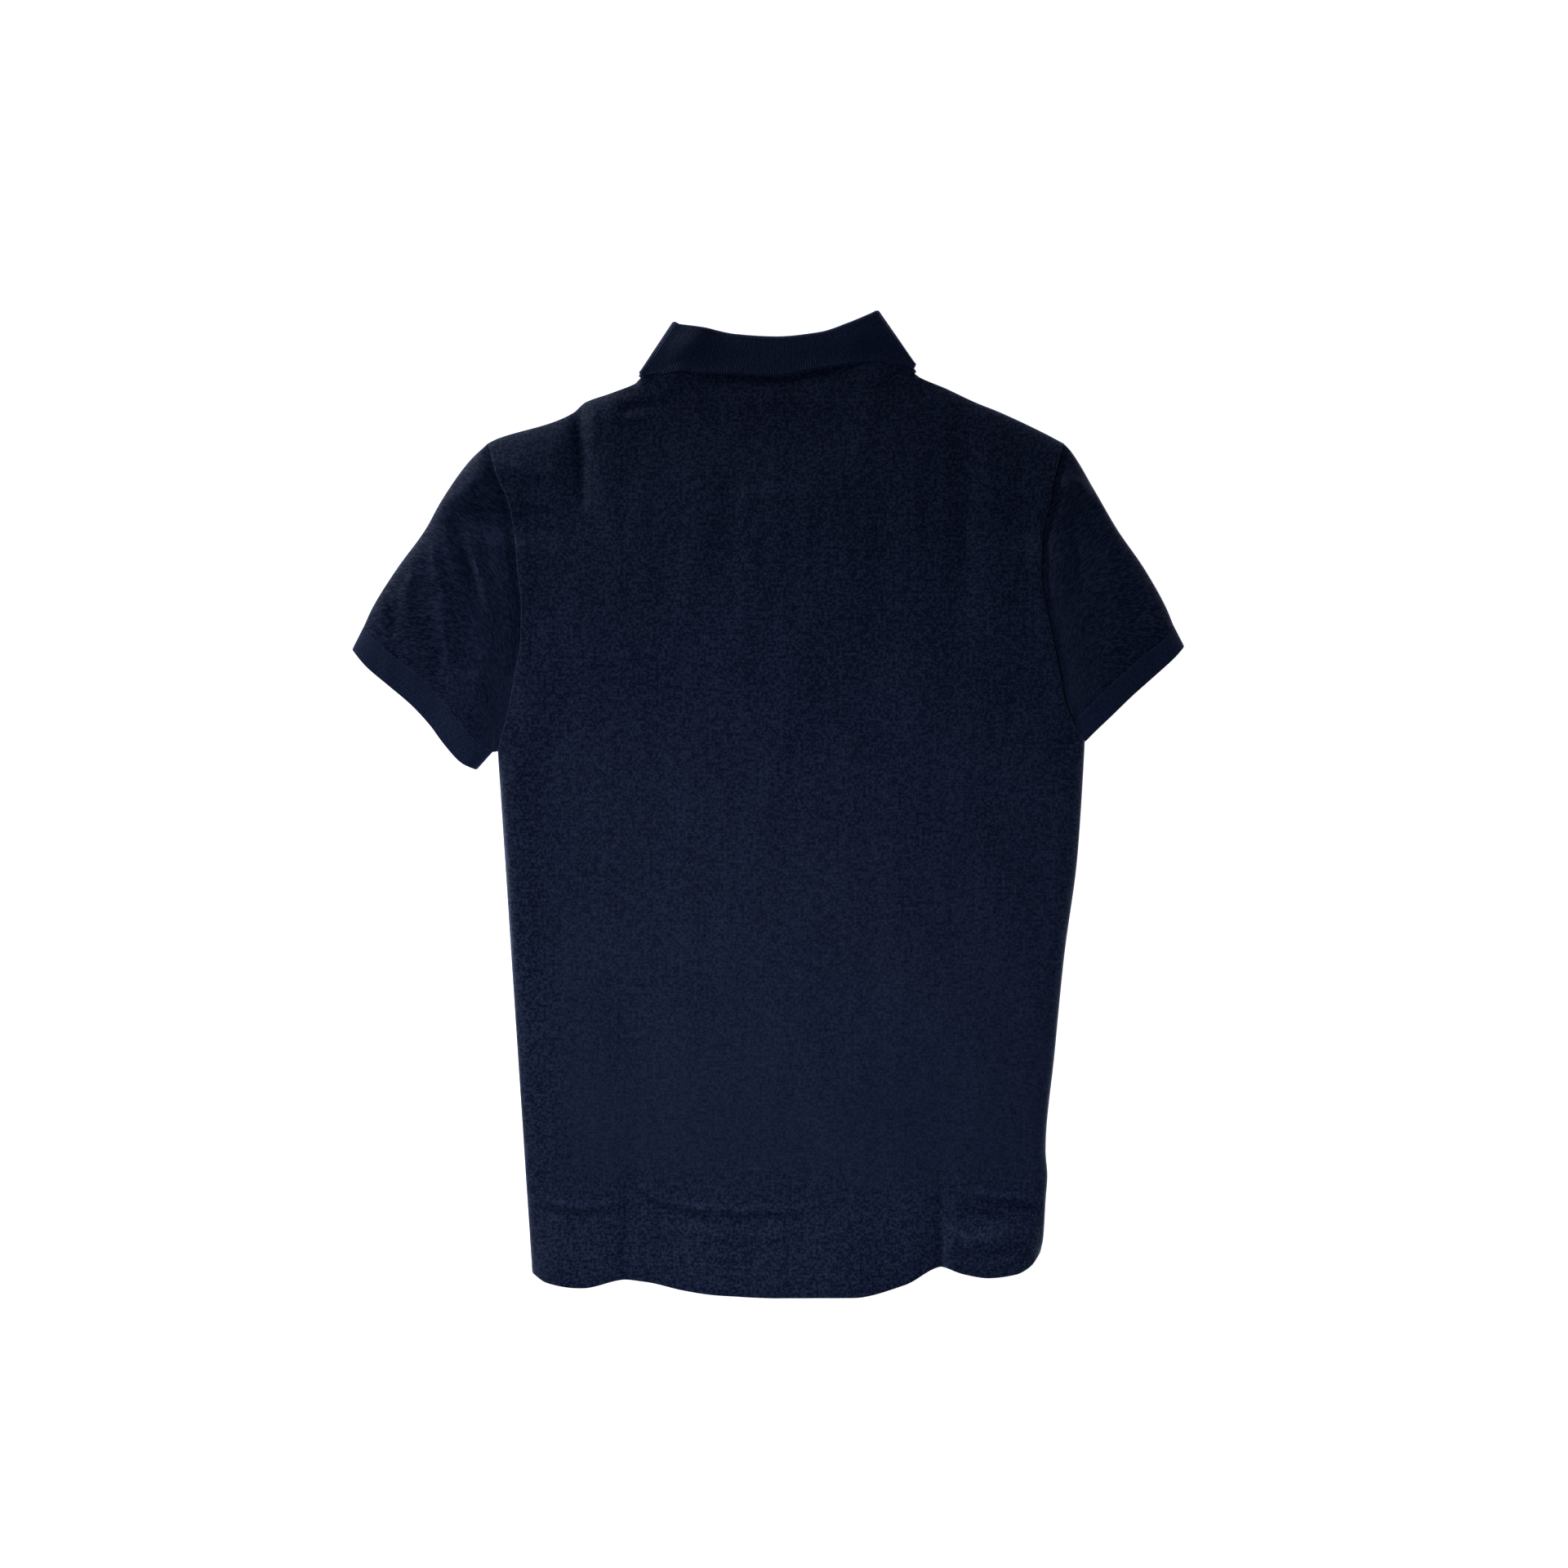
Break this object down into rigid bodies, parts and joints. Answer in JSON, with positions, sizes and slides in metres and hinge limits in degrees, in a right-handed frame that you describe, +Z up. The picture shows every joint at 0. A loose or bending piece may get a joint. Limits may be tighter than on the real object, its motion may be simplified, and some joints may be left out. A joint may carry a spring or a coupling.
{
  "type": "polo shirt",
  "caption": "Short-sleeved polo shirt with a rib collar, rib sleeve bands and a buttoned placket, laid flat with its back up.",
  "frame": {"origin": "on the surface that the shirt lies on, below the middle of its outline", "axes": "+X from the wearer's left sleeve to the right sleeve, +Y from hem to collar, +Z up, from the front panel to the back panel"},
  "size_m": [0.5921, 0.7006, 0.0122],
  "materials": {
    "pique": "dark navy cotton pique knit, matte with a soft nap",
    "rib": "dark navy flat-knit rib, matte",
    "button": "dark navy, four holes, satin"
  },
  "bodies": {
    "root": {"back": "pique", "front": "pique", "sleeve_left": "pique", "sleeve_right": "pique", "cuff_left": "rib", "cuff_right": "rib", "collar": "rib", "placket_over": "pique", "placket_under": "pique", "button_top": "button", "button_mid": "button", "button_low": "button"}
  },
  "joints": []
}
